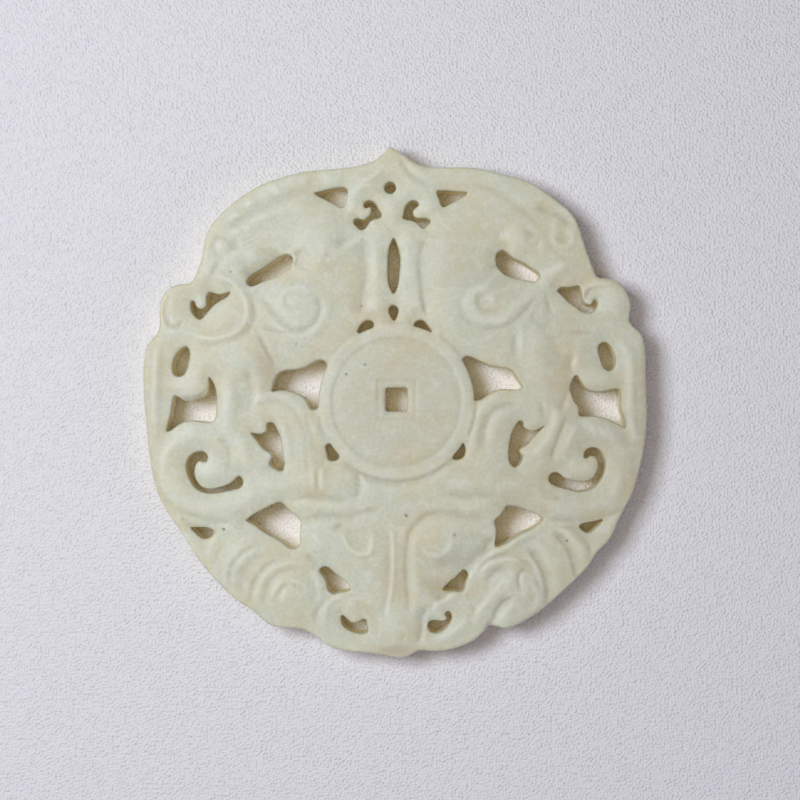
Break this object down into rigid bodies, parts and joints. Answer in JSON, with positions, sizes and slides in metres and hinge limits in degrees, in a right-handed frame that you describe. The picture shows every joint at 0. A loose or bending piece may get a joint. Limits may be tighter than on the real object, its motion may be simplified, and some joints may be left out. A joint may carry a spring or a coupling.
{
  "type": "jade amulet disc",
  "caption": "Flat round pendant of pale jade, pierced and carved on the front with a square-holed coin, crested beasts and a horned mask, with a drilled hole for a string.",
  "frame": {"origin": "middle of the plain back's underside, on the surface that the disc lies on", "axes": "+Z out of the carved front, +Y from the middle towards the peak with the string hole, +X to the right of the front"},
  "size_m": [0.06, 0.0608, 0.0055],
  "materials": {
    "jade": "waxy polish, pale greenish ivory with cloudy patches"
  },
  "bodies": {
    "root": {"jade_disc": "jade"}
  },
  "joints": []
}
